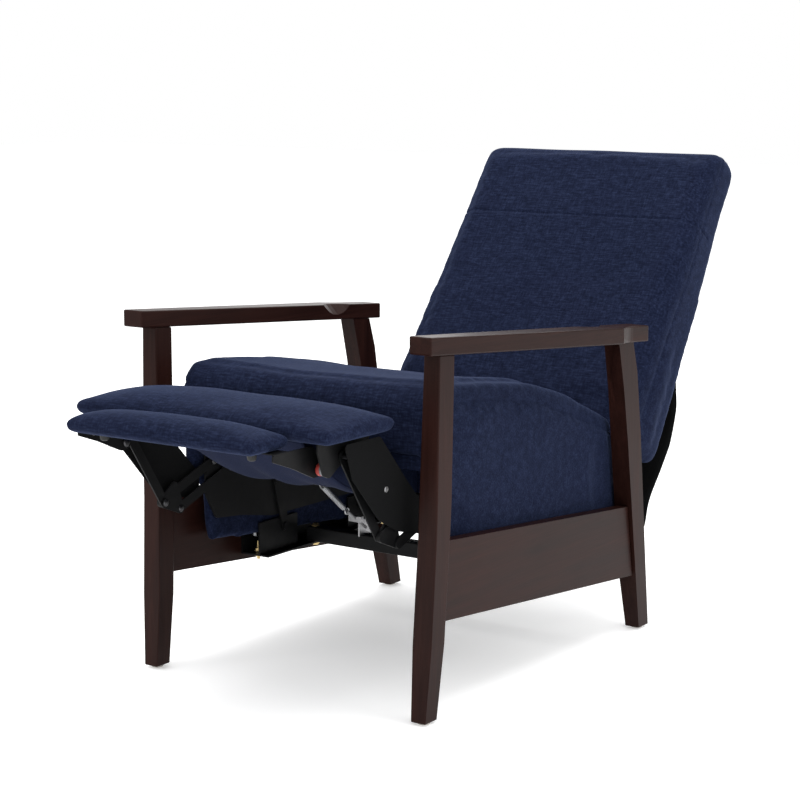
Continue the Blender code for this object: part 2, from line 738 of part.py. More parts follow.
def make_lower_links(label, side):
    """Two equal links from the mounting plate to the knee, which stay parallel."""
    low, high = LAYERS["lower"]
    mount_high = LAYERS["mount"][1]
    main = side_plate("lower_link_" + label, hull([KNEE, LOWER_PIVOT], LINK_HALF), side * low,
                      side * high, "lower_link", STEEL)
    add_pin(main, LOWER_PIVOT, side, high - 0.0005, mount_high, "lower_link", STEEL)
    add_pin(main, LOWER_PIVOT, side, low - 0.0020, low + 0.0005, "lower_link", STEEL, PIN_HEAD)
    add_pin(main, KNEE, side, LAYERS["lift"][0] - 0.0005, low + 0.0005, "lower_link", STEEL)
    add_pin(main, KNEE, side, LAYERS["lift"][0] - 0.0022, LAYERS["lift"][0] - 0.0003,
            "lower_link", STEEL, PIN_HEAD)
    idle = side_plate("idle_link_" + label, hull([IDLE_KNEE, IDLE_PIVOT], LINK_HALF), side * low,
                      side * high, "idle_link", STEEL)
    add_pin(idle, IDLE_PIVOT, side, high - 0.0005, mount_high, "idle_link", STEEL)
    add_pin(idle, IDLE_PIVOT, side, low - 0.0020, low + 0.0005, "idle_link", STEEL, PIN_HEAD)
    add_pin(idle, IDLE_KNEE, side, LAYERS["knee"][0], low + 0.0005, "idle_link", STEEL)


def make_knee_plate(label, side):
    """The plate that ties the two lower links together at the knee."""
    low, high = LAYERS["knee"]
    outline = hull([KNEE, IDLE_KNEE, plus(KNEE, (0.030, 0.022))], LINK_HALF)
    side_plate("knee_plate_" + label, outline, side * low, side * high, "knee_plate", STEEL,
               (KNEE, IDLE_KNEE))


def make_lift_link(label, side):
    """The steep link from the knee up to the footrest bracket, and the shield it carries."""
    low, high = LAYERS["lift"]
    lift = side_plate("lift_link_" + label, hull([KNEE, LIFT_END], LINK_HALF)[::-1], side * low,
                      side * high, "lift_link", STEEL, (KNEE,))
    add_pin(lift, LIFT_END, side, LAYERS["pad"][0] - 0.0005, low + 0.0005, "lift_link", STEEL)
    add_pin(lift, LIFT_END, side, LAYERS["pad"][0] - 0.0024, LAYERS["pad"][0] - 0.0003,
            "lift_link", STEEL, PIN_HEAD)
    add_pin(lift, LIFT_END, side, high - 0.0005, LAYERS["shield"][0] - GAP, "lift_link", STEEL)
    low, high = LAYERS["shield"]
    outline = rounded([
        (-0.0995, 0.4180, 0.02), (-0.0300, 0.3420, 0.05), (0.0220, 0.3140, 0.03),
        (0.1000, 0.2950, 0.004), (0.0990, 0.3420, 0.02), (0.0440, 0.3980, 0.06),
        (-0.0250, 0.4760, 0.010), (-0.1200, 0.4760, 0.006)])
    side_plate("side_shield_" + label, outline, side * low, side * high, "lift_link", BLACK_CLOTH)


# ---------------------------------------------------------------- footrest pads

def make_footrest():
    board = box("footrest_board", (-0.250, -0.1760, BOARD_BOTTOM), (0.250, -0.0180, BOARD_TOP),
                "footrest", PLY)
    bevel(board, 0.002)
    outline = rounded([
        (-0.1880, 0.4960, 0.003), (-0.1840, BOARD_TOP + GAP, 0.002),
        (-0.0080, BOARD_TOP + GAP, 0.002), (-0.0040, 0.5000, 0.006), (-0.0400, 0.5200, 0.04),
        (-0.1200, 0.5250, 0.06), (-0.1880, 0.5060, 0.006)])
    pad = side_plate("footrest_cushion", outline, -FOOTREST_HALF, FOOTREST_HALF, "footrest", NAVY)
    bevel(pad, 0.006, 2, 60)
    for label, side in (("left", 1), ("right", -1)):
        low, high = LAYERS["pad"]
        plate = rounded([
            (-0.1650, 0.4700, 0.006), (-0.1500, 0.4300, 0.006), (-0.1350, 0.4240, 0.010),
            (-0.1120, 0.4380, 0.012), (-0.0850, 0.4480, 0.02), (-0.0300, 0.4720, 0.004),
            (-0.0300, BOARD_BOTTOM - GAP, 0.001), (-0.1650, BOARD_BOTTOM - GAP, 0.001)])
        name = "footrest_bracket_" + label
        bracket = side_plate(name, plate, side * low, side * high, "footrest", STEEL, (LIFT_END,))
        flip_low = LAYERS["flip"][0]
        add_pin(bracket, FLIP_PIVOT, side, flip_low - 0.0005, low + 0.0005, "footrest", STEEL)
        add_pin(bracket, FLIP_PIVOT, side, LAYERS["flip"][1] + GAP, low + 0.0005, "footrest",
                STEEL, PIN_HEAD)
        add_pin(bracket, FLIP_PIVOT, side, flip_low - 0.0024, flip_low - 0.0003, "footrest",
                STEEL, PIN_HEAD)


def make_flipper():
    front, rear = -0.2830, -0.1900
    half = FLIPPER_HALF - 0.006
    board = box("flipper_board", (-half, front + 0.008, FLIP_BOARD_BOTTOM),
                (half, rear - 0.006, FLIP_BOARD_TOP), "flipper", PLY)
    bevel(board, 0.0015)
    under = FLIP_BOARD_TOP + GAP
    outline = rounded([
        (front - 0.002, 0.4900, 0.003), (front + 0.001, under, 0.002), (rear - 0.001, under, 0.002),
        (rear, 0.4930, 0.004), (-0.2050, 0.5080, 0.015), (-0.2450, 0.5120, 0.04),
        (front - 0.002, 0.4990, 0.008)])
    pad = side_plate("flipper_cushion", outline, -FLIPPER_HALF, FLIPPER_HALF, "flipper", NAVY)
    bevel(pad, 0.005, 2, 60)
    level = FLIP_BOARD_BOTTOM - GAP
    for label, side in (("left", 1), ("right", -1)):
        low, high = LAYERS["flip"]
        plate = rounded([
            (-0.2450, 0.4640, 0.003), (-0.2000, 0.4480, 0.02), (-0.1450, 0.4240, 0.01),
            (-0.1230, 0.4260, 0.010), (-0.1220, 0.4560, 0.008), (-0.1500, level, 0.006),
            (-0.2450, level, 0.003)])
        name = "flipper_arm_" + label
        arm = side_plate(name, plate, side * low, side * high, "flipper", STEEL, (FLIP_PIVOT,))
        edges = sorted((side * 0.1700, side * (high - 0.0010)))
        flange = box(name + "_flange", (edges[0], -0.2380, level - 0.0020),
                     (edges[1], -0.2050, level), "flipper", STEEL, group="cutters")
        combine(arm, flange, "UNION")


def build():
    clear_scene()
    make_bodies()
    for label, side in (("left", 1), ("right", -1)):
        make_arm(label, side)
        make_legs(label, side)
        make_side_panel(label, side)
        make_base_rail(label, side)
        make_eyebolt(label, side)
        make_seat_wall(label, side)
        make_mounting_plate(label, side)
        make_tension_spring(label, side)
        make_back_bracket(label, side)
        make_swing("swing_front", SWING_FOOT_FRONT, SWING_TOP_FRONT, label, side, "swing_front")
        make_swing("swing_rear", SWING_FOOT_REAR, SWING_TOP_REAR, label, side, "swing_rear")
        make_lower_links(label, side)
        make_knee_plate(label, side)
        make_lift_link(label, side)
    make_cross_tube("front_cross_tube", 0.4000)
    make_cross_tube("rear_cross_tube", 0.6200)
    make_seat_cushion()
    make_seat_frame()
    make_rear_rail()
    make_cross_bar()
    make_filler_cloth()
    make_back_cushion()
    make_rear_cloth()
    make_footrest()
    make_flipper()


build()
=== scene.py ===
"""Looks of the push-back recliner: soft upholstery, cloths, linkage hardware, materials and light.

Metres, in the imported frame. Side-view points are (y, z) with y counted back from the front ends
of the armrests; FRONT moves them into the frame.
"""
import math
import random

import bmesh
import bpy
from mathutils import Matrix, Vector, noise


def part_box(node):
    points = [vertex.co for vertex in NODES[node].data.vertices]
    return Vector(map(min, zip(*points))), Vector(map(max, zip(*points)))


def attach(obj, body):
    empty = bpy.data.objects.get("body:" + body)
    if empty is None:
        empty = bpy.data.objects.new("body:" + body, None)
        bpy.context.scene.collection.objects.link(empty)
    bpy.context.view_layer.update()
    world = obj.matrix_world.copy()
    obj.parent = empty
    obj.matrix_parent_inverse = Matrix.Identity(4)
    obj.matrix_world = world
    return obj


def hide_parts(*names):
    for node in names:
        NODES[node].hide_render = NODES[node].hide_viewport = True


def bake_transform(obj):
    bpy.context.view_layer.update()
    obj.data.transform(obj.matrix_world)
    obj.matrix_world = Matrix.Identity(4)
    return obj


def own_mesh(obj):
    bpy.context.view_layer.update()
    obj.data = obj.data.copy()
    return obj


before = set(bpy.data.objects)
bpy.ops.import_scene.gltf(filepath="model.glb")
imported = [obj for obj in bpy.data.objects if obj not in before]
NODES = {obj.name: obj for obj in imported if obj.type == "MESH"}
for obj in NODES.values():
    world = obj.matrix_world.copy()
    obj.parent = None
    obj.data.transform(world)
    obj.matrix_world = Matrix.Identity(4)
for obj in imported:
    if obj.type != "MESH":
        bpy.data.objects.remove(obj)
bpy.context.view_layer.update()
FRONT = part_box("armrest_left")[0][1]
SIDES = (("left", 1), ("right", -1))

# Pivots and levels of the linkage, as in the CAD model
KNEE = (-0.0100, 0.3100)
LIFT_END = (-0.1050, 0.4550)
FLIP_PIVOT = (-0.1350, 0.4370)
LOWER_PIVOT = (0.1300, 0.3600)
IDLE_PIVOT = (0.1764, 0.3413)
BAR = (0.2620, 0.3150)
SPRING_EYE = (0.3480, 0.2460)
SPRING_X = 0.100
FLIP_BOARD_BOTTOM = 0.4755


def place(x, point):
    """Frame position of a side-view point at a distance x from the centre plane."""
    return Vector((x, point[0] + FRONT, point[1]))


# ---------------------------------------------------------------- materials

class Graph:
    """A short way to build a node material around one Principled shader."""

    def __init__(self, name):
        self.material = bpy.data.materials.new(name)
        self.material.use_nodes = True
        self.tree = self.material.node_tree
        self.shader = self.tree.nodes["Principled BSDF"]

    def node(self, kind, **settings):
        made = self.tree.nodes.new(kind)
        for key, value in settings.items():
            setattr(made, key, value)
        return made

    def link(self, source, target):
        self.tree.links.new(source, target)

    def set(self, **values):
        for key, value in values.items():
            self.shader.inputs[key.replace("_", " ")].default_value = value

    def coordinates(self, scale):
        mapping = self.node("ShaderNodeMapping")
        mapping.inputs["Scale"].default_value = scale
        source = self.node("ShaderNodeTexCoord")
        self.link(source.outputs["Object"], mapping.inputs["Vector"])
        return mapping.outputs["Vector"]

    def noise(self, vector, scale, detail=3.0, roughness=0.55, distortion=0.0):
        made = self.node("ShaderNodeTexNoise")
        made.inputs["Scale"].default_value = scale
        made.inputs["Detail"].default_value = detail
        made.inputs["Roughness"].default_value = roughness
        made.inputs["Distortion"].default_value = distortion
        self.link(vector, made.inputs["Vector"])
        return made.outputs["Fac"]

    def ramp(self, factor, stops):
        made = self.node("ShaderNodeValToRGB")
        while len(made.color_ramp.elements) < len(stops):
            made.color_ramp.elements.new(0.5)
        for element, (position, colour) in zip(made.color_ramp.elements, stops):
            element.position = position
            element.color = (*colour, 1.0)
        self.link(factor, made.inputs["Fac"])
        return made.outputs["Color"]

    def span(self, factor, low, high, out_low, out_high):
        made = self.node("ShaderNodeMapRange")
        for key, value in zip(("From Min", "From Max", "To Min", "To Max"),
                              (low, high, out_low, out_high)):
            made.inputs[key].default_value = value
        self.link(factor, made.inputs["Value"])
        return made.outputs["Result"]

    def math(self, kind, first, second):
        made = self.node("ShaderNodeMath", operation=kind)
        for socket, value in zip(made.inputs, (first, second)):
            if isinstance(value, float):
                socket.default_value = value
            else:
                self.link(value, socket)
        return made.outputs["Value"]

    def mix(self, kind, factor, base, tint):
        """Blend one fixed tint into a colour. Sockets 6, 7 and 2 are the node's colour ones."""
        made = self.node("ShaderNodeMix", data_type="RGBA", blend_type=kind)
        self.link(factor, made.inputs["Factor"])
        self.link(base, made.inputs[6])
        made.inputs[7].default_value = (*tint, 1.0)
        return made.outputs[2]

    def bump(self, height, distance, strength):
        made = self.node("ShaderNodeBump")
        made.inputs["Distance"].default_value = distance
        made.inputs["Strength"].default_value = strength
        self.link(height, made.inputs["Height"])
        self.link(made.outputs["Normal"], self.shader.inputs["Normal"])


def wood_material(name, along):
    """Espresso-stained wood with its grain along one axis and a satin lacquer."""
    g = Graph(name)
    stretch = [46.0, 46.0, 46.0]
    stretch[along] = 2.2
    grain = g.noise(g.coordinates(tuple(stretch)), 1.0, 5.0, 0.6, 0.6)
    fine_stretch = [420.0, 420.0, 420.0]
    fine_stretch[along] = 9.0
    pores = g.noise(g.coordinates(tuple(fine_stretch)), 1.0, 2.0, 0.5)
    blotch = g.noise(g.coordinates((5.0, 5.0, 5.0)), 1.0, 2.0)
    colour = g.ramp(grain, ((0.25, (0.0085, 0.0032, 0.0027)), (0.55, (0.0170, 0.0064, 0.0050)),
                            (0.85, (0.0300, 0.0105, 0.0078))))
    colour = g.mix("MULTIPLY", g.span(pores, 0.35, 0.6, 0.45, 0.0), colour, (0.45, 0.38, 0.36))
    colour = g.mix("MIX", g.span(blotch, 0.3, 0.7, 0.0, 0.30), colour, (0.0300, 0.0098, 0.0074))
    g.link(colour, g.shader.inputs["Base Color"])
    g.link(g.span(grain, 0.2, 0.8, 0.30, 0.42), g.shader.inputs["Roughness"])
    g.set(Specular_IOR_Level=0.07)
    height = g.math("ADD", grain, g.math("MULTIPLY", pores, 0.5))
    g.bump(height, 0.00025, 0.5)
    return g.material


def chenille_material(name, dark, mid, light):
    """Soft navy chenille: short cross slubs over a fine rib, and a velvety sheen."""
    g = Graph(name)
    slub = g.noise(g.coordinates((60.0, 330.0, 330.0)), 1.0, 3.0, 0.6, 0.2)
    upright = g.noise(g.coordinates((300.0, 70.0, 70.0)), 1.0, 2.0, 0.6)
    fleck = g.noise(g.coordinates((700.0, 700.0, 700.0)), 1.0, 2.0, 0.7)
    cloud = g.noise(g.coordinates((9.0, 9.0, 9.0)), 1.0, 3.0, 0.6)
    yarn = g.math("ADD", g.math("MULTIPLY", slub, 0.62), g.math("MULTIPLY", upright, 0.38))
    yarn = g.math("ADD", g.math("MULTIPLY", yarn, 0.8), g.math("MULTIPLY", fleck, 0.2))
    colour = g.ramp(yarn, ((0.36, dark), (0.50, mid), (0.66, light)))
    colour = g.mix("MULTIPLY", g.span(cloud, 0.3, 0.7, 0.0, 0.25), colour, (0.62, 0.64, 0.72))
    g.link(colour, g.shader.inputs["Base Color"])
    g.set(Roughness=0.95, Specular_IOR_Level=0.05, Sheen_Weight=0.10,
          Sheen_Roughness=0.40, Sheen_Tint=(0.38, 0.52, 1.0, 1.0))
    g.bump(yarn, 0.0011, 0.55)
    return g.material


def plain_cloth_material(name, colour):
    """A thin flat cloth with a visible over-and-under weave."""
    weave = 900.0
    g = Graph(name)
    over = g.node("ShaderNodeTexWave", wave_type="BANDS", bands_direction="X")
    over.inputs["Scale"].default_value = weave / 6.0
    g.link(g.coordinates((1.0, 1.0, 1.0)), over.inputs["Vector"])
    under = g.noise(g.coordinates((weave, weave, weave)), 1.0, 2.0)
    cloud = g.noise(g.coordinates((14.0, 14.0, 14.0)), 1.0, 3.0)
    height = g.math("ADD", g.math("MULTIPLY", over.outputs["Fac"], 0.4), under)
    darker = tuple(value * 0.55 for value in colour)
    shade = g.ramp(under, ((0.35, darker), (0.65, colour)))
    shade = g.mix("MULTIPLY", g.span(cloud, 0.3, 0.7, 0.0, 0.3), shade, (0.7, 0.7, 0.7))
    g.link(shade, g.shader.inputs["Base Color"])
    g.set(Roughness=0.95, Specular_IOR_Level=0.08)
    g.bump(height, 0.0003, 0.6)
    return g.material


def metal_material(name, colour, metallic, rough):
    """Plated or painted metal with faint grime, uneven polish and a fine surface."""
    g = Graph(name)
    fine = g.noise(g.coordinates((900.0, 900.0, 900.0)), 1.0, 3.0, 0.6)
    smear = g.noise(g.coordinates((30.0, 30.0, 30.0)), 1.0, 4.0, 0.65)
    darker = tuple(value * 0.75 for value in colour)
    shade = g.ramp(smear, ((0.3, darker), (0.65, colour)))
    g.link(shade, g.shader.inputs["Base Color"])
    g.link(g.span(smear, 0.25, 0.75, rough * 0.8, rough * 1.35), g.shader.inputs["Roughness"])
    g.set(Metallic=metallic, Specular_IOR_Level=0.5 if metallic else 0.10)
    g.bump(fine, 0.00006, 0.5)
    return g.material


def plastic_material(name, colour, rough):
    """Moulded plastic or rubber with a slight mottled surface."""
    g = Graph(name)
    fine = g.noise(g.coordinates((500.0, 500.0, 500.0)), 1.0, 3.0)
    broad = g.noise(g.coordinates((60.0, 60.0, 60.0)), 1.0, 2.0)
    darker = tuple(value * 0.7 for value in colour)
    g.link(g.ramp(broad, ((0.3, darker), (0.7, colour))), g.shader.inputs["Base Color"])
    g.link(g.span(fine, 0.3, 0.7, rough * 0.85, min(1.0, rough * 1.2)),
           g.shader.inputs["Roughness"])
    g.bump(fine, 0.00008, 0.5)
    return g.material


MATERIALS = {
    "wood_y": wood_material("wood_along_y", 1),
    "wood_z": wood_material("wood_along_z", 2),
    "navy": chenille_material("navy_chenille", (0.0028, 0.0043, 0.0128), (0.0066, 0.0096, 0.0255),
                              (0.0160, 0.0225, 0.0510)),
    "lining": plain_cloth_material("blue_lining", (0.0110, 0.0155, 0.0400)),
    "black_cloth": plain_cloth_material("black_cloth", (0.0058, 0.0060, 0.0064)),
    "steel": metal_material("black_steel", (0.0056, 0.0057, 0.0062), 0.0, 0.45),
    "bare": metal_material("bare_steel", (0.42, 0.42, 0.43), 1.0, 0.34),
    "dark_rivet": metal_material("dark_rivet", (0.075, 0.075, 0.080), 1.0, 0.32),
    "zinc": metal_material("zinc", (0.62, 0.63, 0.65), 1.0, 0.30),
    "brass": metal_material("brass_plate", (0.66, 0.50, 0.24), 1.0, 0.30),
    "red_rubber": plastic_material("red_rubber", (0.33, 0.030, 0.022), 0.6),
    "grey_plastic": plastic_material("grey_plastic", (0.16, 0.16, 0.17), 0.5),
    "black_rubber": plastic_material("black_rubber", (0.010, 0.010, 0.010), 0.65),
    "glide": plastic_material("glide_plastic", (0.52, 0.50, 0.46), 0.5),
}


def dress(piece, look):
    """Give a piece or CAD node one material."""
    material = MATERIALS[look]
    if not piece.material_slots:
        piece.data.materials.append(material)
    for entry in piece.material_slots:
        entry.material = material


def shade_smooth(piece):
    for face in piece.data.polygons:
        face.use_smooth = True


def finish_piece(piece, body, look):
    """Dress a new piece and, where it keeps to one body, make it ride there."""
    dress(piece, look)
    if body:
        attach(piece, body)
    return piece


def link_object(name, data):
    made = bpy.data.objects.new(name, data)
    bpy.context.scene.collection.objects.link(made)
    return made


def dress_cad_nodes():
    """Materials for the CAD nodes that stay visible."""
    for label, _ in SIDES:
        dress(NODES["armrest_" + label], "wood_y")
        dress(NODES["side_panel_" + label], "wood_y")
        dress(NODES["front_leg_" + label], "wood_z")
        dress(NODES["rear_leg_" + label], "wood_z")
        for end in ("front", "rear"):
            dress(NODES["glide_" + end + "_" + label], "glide")
        for name in ("base_rail", "mounting_plate", "back_bracket", "swing_front", "swing_rear",
                     "lower_link", "idle_link", "knee_plate", "lift_link", "footrest_bracket",
                     "flipper_arm"):
            dress(NODES[name + "_" + label], "steel")
        dress(NODES["rail_bolt_" + label], "brass")
        dress(NODES["spring_adjuster_" + label], "bare")
    for name in ("front_cross_tube", "rear_cross_tube", "seat_cross_bar"):
        dress(NODES[name], "steel")
    dress(NODES["seat_spring"], "bare")
    dress(NODES["seat_frame"], "navy")


# ---------------------------------------------------------------- soft upholstery

def joined_mesh(names):
    """One mesh holding copies of several CAD nodes, in the frame."""
    work = bmesh.new()
    for name in names:
        work.from_mesh(NODES[name].data)
    mesh = bpy.data.meshes.new("soft")
    work.to_mesh(mesh)
    work.free()
    return mesh


def apply_modifiers(piece):
    graph = bpy.context.evaluated_depsgraph_get()
    mesh = bpy.data.meshes.new_from_object(piece.evaluated_get(graph))
    piece.modifiers.clear()
    piece.data = mesh


def remesh(piece, voxel):
    step = piece.modifiers.new("voxels", "REMESH")
    step.mode = "VOXEL"
    step.voxel_size = voxel
    apply_modifiers(piece)


def relax(piece, rounds, keep):
    """Smooth a mesh's voxel steps. keep(point) gives 0 for points that stay."""
    work = bmesh.new()
    work.from_mesh(piece.data)
    for _ in range(rounds):
        moved = {}
        for vertex in work.verts:
            share = keep(vertex.co)
            if share > 0:
                mean = sum((e.other_vert(vertex).co for e in vertex.link_edges), Vector())
                mean /= len(vertex.link_edges)
                moved[vertex] = vertex.co.lerp(mean, 0.5 * share)
        for vertex, spot in moved.items():
            vertex.co = spot
    work.to_mesh(piece.data)
    work.free()


def inflate(piece, pressure, cap, hold):
    """Puff a closed mesh as cloth under pressure, over foam that it can't sink into.

    hold(point) is 1 where the cover is fixed, and cap is how far any point may move out.
    """
    frames = 18
    piece.data.update()
    start = [vertex.co.copy() for vertex in piece.data.vertices]
    normals = [vertex.normal.copy() for vertex in piece.data.vertices]
    group = piece.vertex_groups.new(name="held")
    for i, spot in enumerate(start):
        weight = hold(spot)
        if weight > 0:
            group.add([i], weight, "REPLACE")
    step = piece.modifiers.new("cloth", "CLOTH")
    cloth = step.settings
    cloth.quality = 4
    cloth.mass = 0.3
    cloth.tension_stiffness = 22
    cloth.compression_stiffness = 22
    cloth.shear_stiffness = 8
    cloth.bending_stiffness = 1.2
    cloth.use_pressure = True
    cloth.uniform_pressure_force = pressure
    cloth.effector_weights.gravity = 0
    cloth.vertex_group_mass = "held"
    step.collision_settings.use_collision = False
    step.point_cache.frame_start = 1
    step.point_cache.frame_end = frames
    scene = bpy.context.scene
    for number in range(1, frames + 1):
        scene.frame_set(number)
    apply_modifiers(piece)
    scene.frame_set(1)
    for vertex, spot, normal in zip(piece.data.vertices, start, normals):
        out = (vertex.co - spot).dot(normal)
        vertex.co = spot + normal * min(cap, max(0.0, out))
    piece.vertex_groups.clear()


def grow(piece, amount, where):
    """Push a cover outwards along its normals."""
    piece.data.update()
    normals = [vertex.normal.copy() for vertex in piece.data.vertices]
    for vertex, normal in zip(piece.data.vertices, normals):
        vertex.co += normal * amount * where(vertex.co)


def soften(piece):
    step = piece.modifiers.new("fine", "SUBSURF")
    step.levels = 1
    step.render_levels = 1
    apply_modifiers(piece)
    shade_smooth(piece)


def press_seam(piece, distance_of, depth, half_width):
    """Press a soft groove into a mesh where distance_of(point) is near zero."""
    piece.data.update()
    normals = [vertex.normal.copy() for vertex in piece.data.vertices]
    for vertex, normal in zip(piece.data.vertices, normals):
        away = distance_of(vertex.co)
        if abs(away) < 4 * half_width:
            vertex.co -= normal * depth * math.exp(-(away / half_width) ** 2)


def split_along(piece, point, normal, offsets):
    """Cut extra edge loops across a mesh, parallel to a plane, so a seam stays crisp."""
    work = bmesh.new()
    work.from_mesh(piece.data)
    unit = Vector(normal).normalized()
    for offset in offsets:
        bmesh.ops.bisect_plane(work, geom=work.verts[:] + work.edges[:] + work.faces[:],
                               plane_co=Vector(point) + unit * offset, plane_no=unit,
                               dist=0.00002)
    work.to_mesh(piece.data)
    work.free()
    shade_smooth(piece)


def wrinkle(piece, size, strength, where, seed):
    """Faint uneven tension in a cover, as smooth noise along the normals."""
    piece.data.update()
    normals = [vertex.normal.copy() for vertex in piece.data.vertices]
    for vertex, normal in zip(piece.data.vertices, normals):
        spot = Vector((vertex.co.x / size[0], vertex.co.y / size[1], vertex.co.z / size[2]))
        value = noise.noise(spot + Vector((seed, seed, seed)))
        vertex.co += normal * value * strength * where(vertex.co)


def smooth_step(value, low, high):
    share = min(1.0, max(0.0, (value - low) / (high - low)))
    return share * share * (3 - 2 * share)


SEAT_HALF = 0.262
WALL_INNER = 0.2410
# The cushion's underside falls to the rear from this side-view point
UNDERSIDE_START = (0.088, 0.4247)
UNDERSIDE_SLOPE = 0.0847


def seat_edge_lift(spot):
    """The boxed side edges stand a little proud of the seat's flat top."""
    y = spot.y - FRONT
    ends = 1 - smooth_step(y, 0.52, 0.66)
    return 0.0060 * smooth_step(abs(spot.x), 0.080, 0.260) * ends


def make_seat():
    """One cover over the cushion and down both side walls, as the real one is pulled."""
    names = ("seat_cushion", "seat_wall_left", "seat_wall_right")
    seat = link_object("seat_upholstery", joined_mesh(names))
    for vertex in seat.data.vertices:
        if abs(vertex.co.x) > SEAT_HALF - 0.005 and vertex.co.z > 0.20:
            vertex.co.x *= 0.992
    close_wall_gap(seat)
    remesh(seat, 0.0065)

    def free_to_move(spot):
        inner = abs(spot.x) < WALL_INNER + 0.004
        y = spot.y - FRONT
        underside = spot.z < seat_underside(y) + 0.006
        if inner and underside:
            return 0.0
        return 1.0

    relax(seat, 3, free_to_move)
    inflate(seat, 3.0, 0.006, lambda spot: 1.0 - free_to_move(spot))
    grow(seat, 0.004, free_to_move)
    for vertex in seat.data.vertices:
        if vertex.co.z > 0.42:
            vertex.co.z += seat_edge_lift(vertex.co) * smooth_step(vertex.co.z, 0.42, 0.49)
    soften(seat)
    wrinkle(seat, (0.05, 0.30, 0.05), 0.0022,
            lambda s: free_to_move(s) * (1 - smooth_step(s.z, 0.40, 0.47)), 3.1)
    wrinkle(seat, (0.12, 0.12, 0.12), 0.0030, free_to_move, 7.7)
    for vertex in seat.data.vertices:
        keep_between_neighbours(vertex)
    press_seam(seat, side_seam_distance, 0.0022, 0.0035)
    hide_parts(*names)
    finish_piece(seat, "seat", "navy")


def keep_between_neighbours(vertex):
    """Hold the cover off the rear legs outside it and off the footrest's shields inside it."""
    x, y, z = vertex.co.x, vertex.co.y - FRONT, vertex.co.z
    beside_leg = smooth_step(y, 0.56, 0.62) * (1 - smooth_step(z, 0.33, 0.42))
    stand_out, leg_relief = 0.0105, 0.0065
    limit = SEAT_HALF + stand_out - leg_relief * beside_leg
    x = max(-limit, min(limit, x))
    below_cushion = z < seat_underside(y) - 0.004
    inner_limit = WALL_INNER + 0.0004
    if below_cushion and abs(x) < inner_limit:
        x = math.copysign(inner_limit, x)
    vertex.co.x = x


def seat_underside(y):
    """Height of the cushion's underside at a distance behind the armrests' front ends."""
    return UNDERSIDE_START[1] - UNDERSIDE_SLOPE * (y - UNDERSIDE_START[0])


def close_wall_gap(seat):
    """Raise the walls' top edges into the cushion so that one cover spans both."""
    for vertex in seat.data.vertices:
        y = vertex.co.y - FRONT
        level = seat_underside(y)
        if level - 0.0045 < vertex.co.z < level - 0.0005 and abs(vertex.co.x) > 0.235:
            vertex.co.z = level + 0.006


def side_seam_distance(spot):
    """Distance from the seam where the seat's top panel meets its side panel."""
    if abs(spot.x) < SEAT_HALF - 0.03:
        return 1.0
    y = spot.y - FRONT
    line = seat_edge_height(y) - 0.020
    return spot.z - line


def seat_edge_height(y):
    """Height of the seat's upper edge along its side."""
    if y < 0.125:
        return 0.527 - 0.10 * (0.125 - y)
    if y < 0.41:
        return 0.529 - 0.035 * ((y - 0.125) / 0.285) ** 1.4
    return 0.494 - 0.094 * (y - 0.41) / 0.261


BACK_SEAM_Z = 0.745


def make_back():
    """The wedge-shaped back, with a cross seam below the headrest and boxed sides."""
    back = link_object("back_upholstery", joined_mesh(("back_cushion",)))
    remesh(back, 0.0080)

    def free_to_move(spot):
        y = spot.y - FRONT
        near_slot = 0.214 < abs(spot.x) < 0.254 and spot.z < 0.430 and y < 0.815
        return 0.0 if near_slot else 1.0

    relax(back, 4, free_to_move)
    inflate(back, 3.2, 0.009, lambda spot: 1.0 - free_to_move(spot))
    grow(back, 0.009, free_to_move)
    soften(back)
    face_normal = Vector((0.0, -0.8115, 0.5843))
    up_face = Vector((0.0, 0.584, 0.812))
    seam_point = place(0.0, (0.983, BACK_SEAM_Z))
    split_along(back, seam_point, up_face, (-0.004, -0.0015, 0.0015, 0.004))
    wrinkle(back, (0.16, 0.16, 0.16), 0.0035, free_to_move, 1.3)

    def cross_seam(spot):
        rear = (spot - seam_point).dot(face_normal) < -0.060
        return 1.0 if rear else (spot - seam_point).dot(up_face)

    press_seam(back, cross_seam, 0.0020, 0.0028)

    def side_seam(spot):
        if abs(spot.x) < 0.235:
            return 1.0
        return (spot - seam_point).dot(face_normal) + 0.030

    press_seam(back, side_seam, 0.0020, 0.0030)
    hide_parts("back_cushion")
    finish_piece(back, "back", "navy")


def spread(count, mix=0.55):
    """Steps from -1 to 1 that crowd towards both ends."""
    steps = []
    for i in range(count + 1):
        even = 2 * i / count - 1
        steps.append((1 - mix) * even - mix * math.cos(math.pi * i / count))
    return steps


